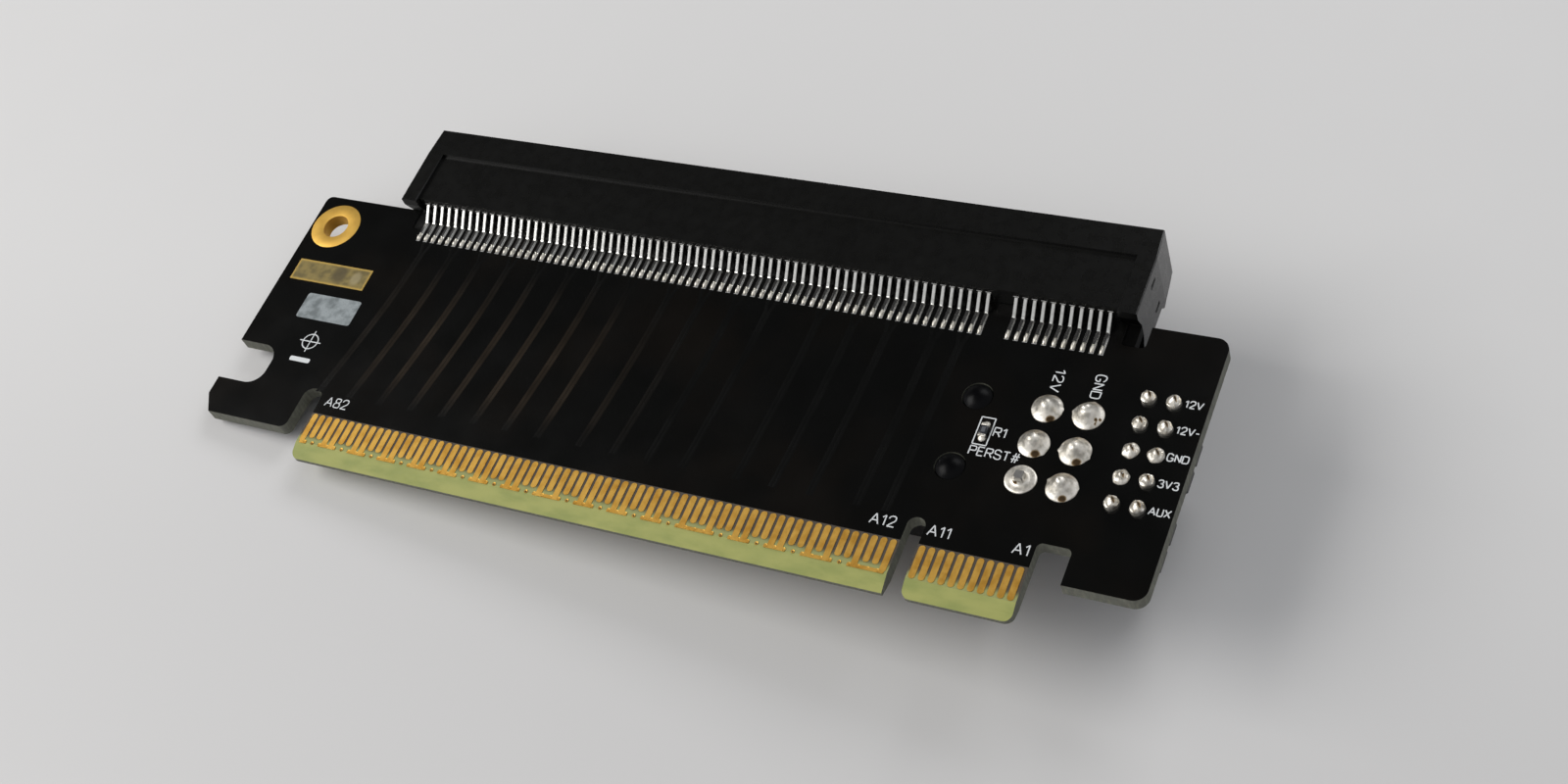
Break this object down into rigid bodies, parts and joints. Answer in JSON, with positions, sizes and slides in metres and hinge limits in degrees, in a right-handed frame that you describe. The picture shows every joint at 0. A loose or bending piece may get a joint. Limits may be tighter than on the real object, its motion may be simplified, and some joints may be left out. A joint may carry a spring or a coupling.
{
  "type": "pcie riser card",
  "caption": "Flat riser card: black board with a gold card edge below, an edge-mounted expansion socket above, and a power inlet, pin headers and jumper caps on its back.",
  "frame": {"origin": "centre of the key notch in X, tip of the card edge in Y, middle of the board's thickness in Z", "axes": "+X along the card edge towards contact 1, +Y from the card edge up to the socket, +Z out of the board's front, which carries the contact numbers"},
  "size_m": [0.1105, 0.0447, 0.0148],
  "materials": {
    "board": "black solder mask over a yellow-green glass laminate",
    "gold": "thin gold plating",
    "moulding": "moulded, slightly satin black",
    "tinned_lead": "tin plated spring strip",
    "solder": "bright reflowed solder",
    "pin_metal": "tin plated drawn pin",
    "cap_plastic": "moulded black",
    "resistor": "glazed black film on ceramic"
  },
  "bodies": {
    "root": {"pcb": "board", "edge_contacts_front": "gold", "edge_contacts_back": "gold", "mounting_hole_rings": "gold", "gold_patch": "gold", "socket_housing": "moulding", "socket_contacts_front": "tinned_lead", "socket_contacts_back": "tinned_lead", "socket_solder_front": "solder", "socket_solder_back": "solder", "power_housing": "moulding", "power_pin_1": "pin_metal", "power_pin_2": "pin_metal", "power_pin_3": "pin_metal", "power_pin_4": "pin_metal", "power_pin_5": "pin_metal", "power_pin_6": "pin_metal", "power_solder_joints": "solder", "header_1_base": "moulding", "header_1_pin_1": "pin_metal", "header_1_pin_2": "pin_metal", "jumper_cap_1": "cap_plastic", "jumper_clip_1": "pin_metal", "header_2_base": "moulding", "header_2_pin_1": "pin_metal", "header_2_pin_2": "pin_metal", "jumper_cap_2": "cap_plastic", "jumper_clip_2": "pin_metal", "header_3_base": "moulding", "header_3_pin_1": "pin_metal", "header_3_pin_2": "pin_metal", "header_4_base": "moulding", "header_4_pin_1": "pin_metal", "header_4_pin_2": "pin_metal", "jumper_cap_4": "cap_plastic", "jumper_clip_4": "pin_metal", "header_5_base": "moulding", "header_5_pin_1": "pin_metal", "header_5_pin_2": "pin_metal", "jumper_cap_5": "cap_plastic", "jumper_clip_5": "pin_metal", "header_solder_joints": "solder", "resistor_body": "resistor", "resistor_terminals": "solder", "resistor_solder": "solder"}
  },
  "joints": []
}
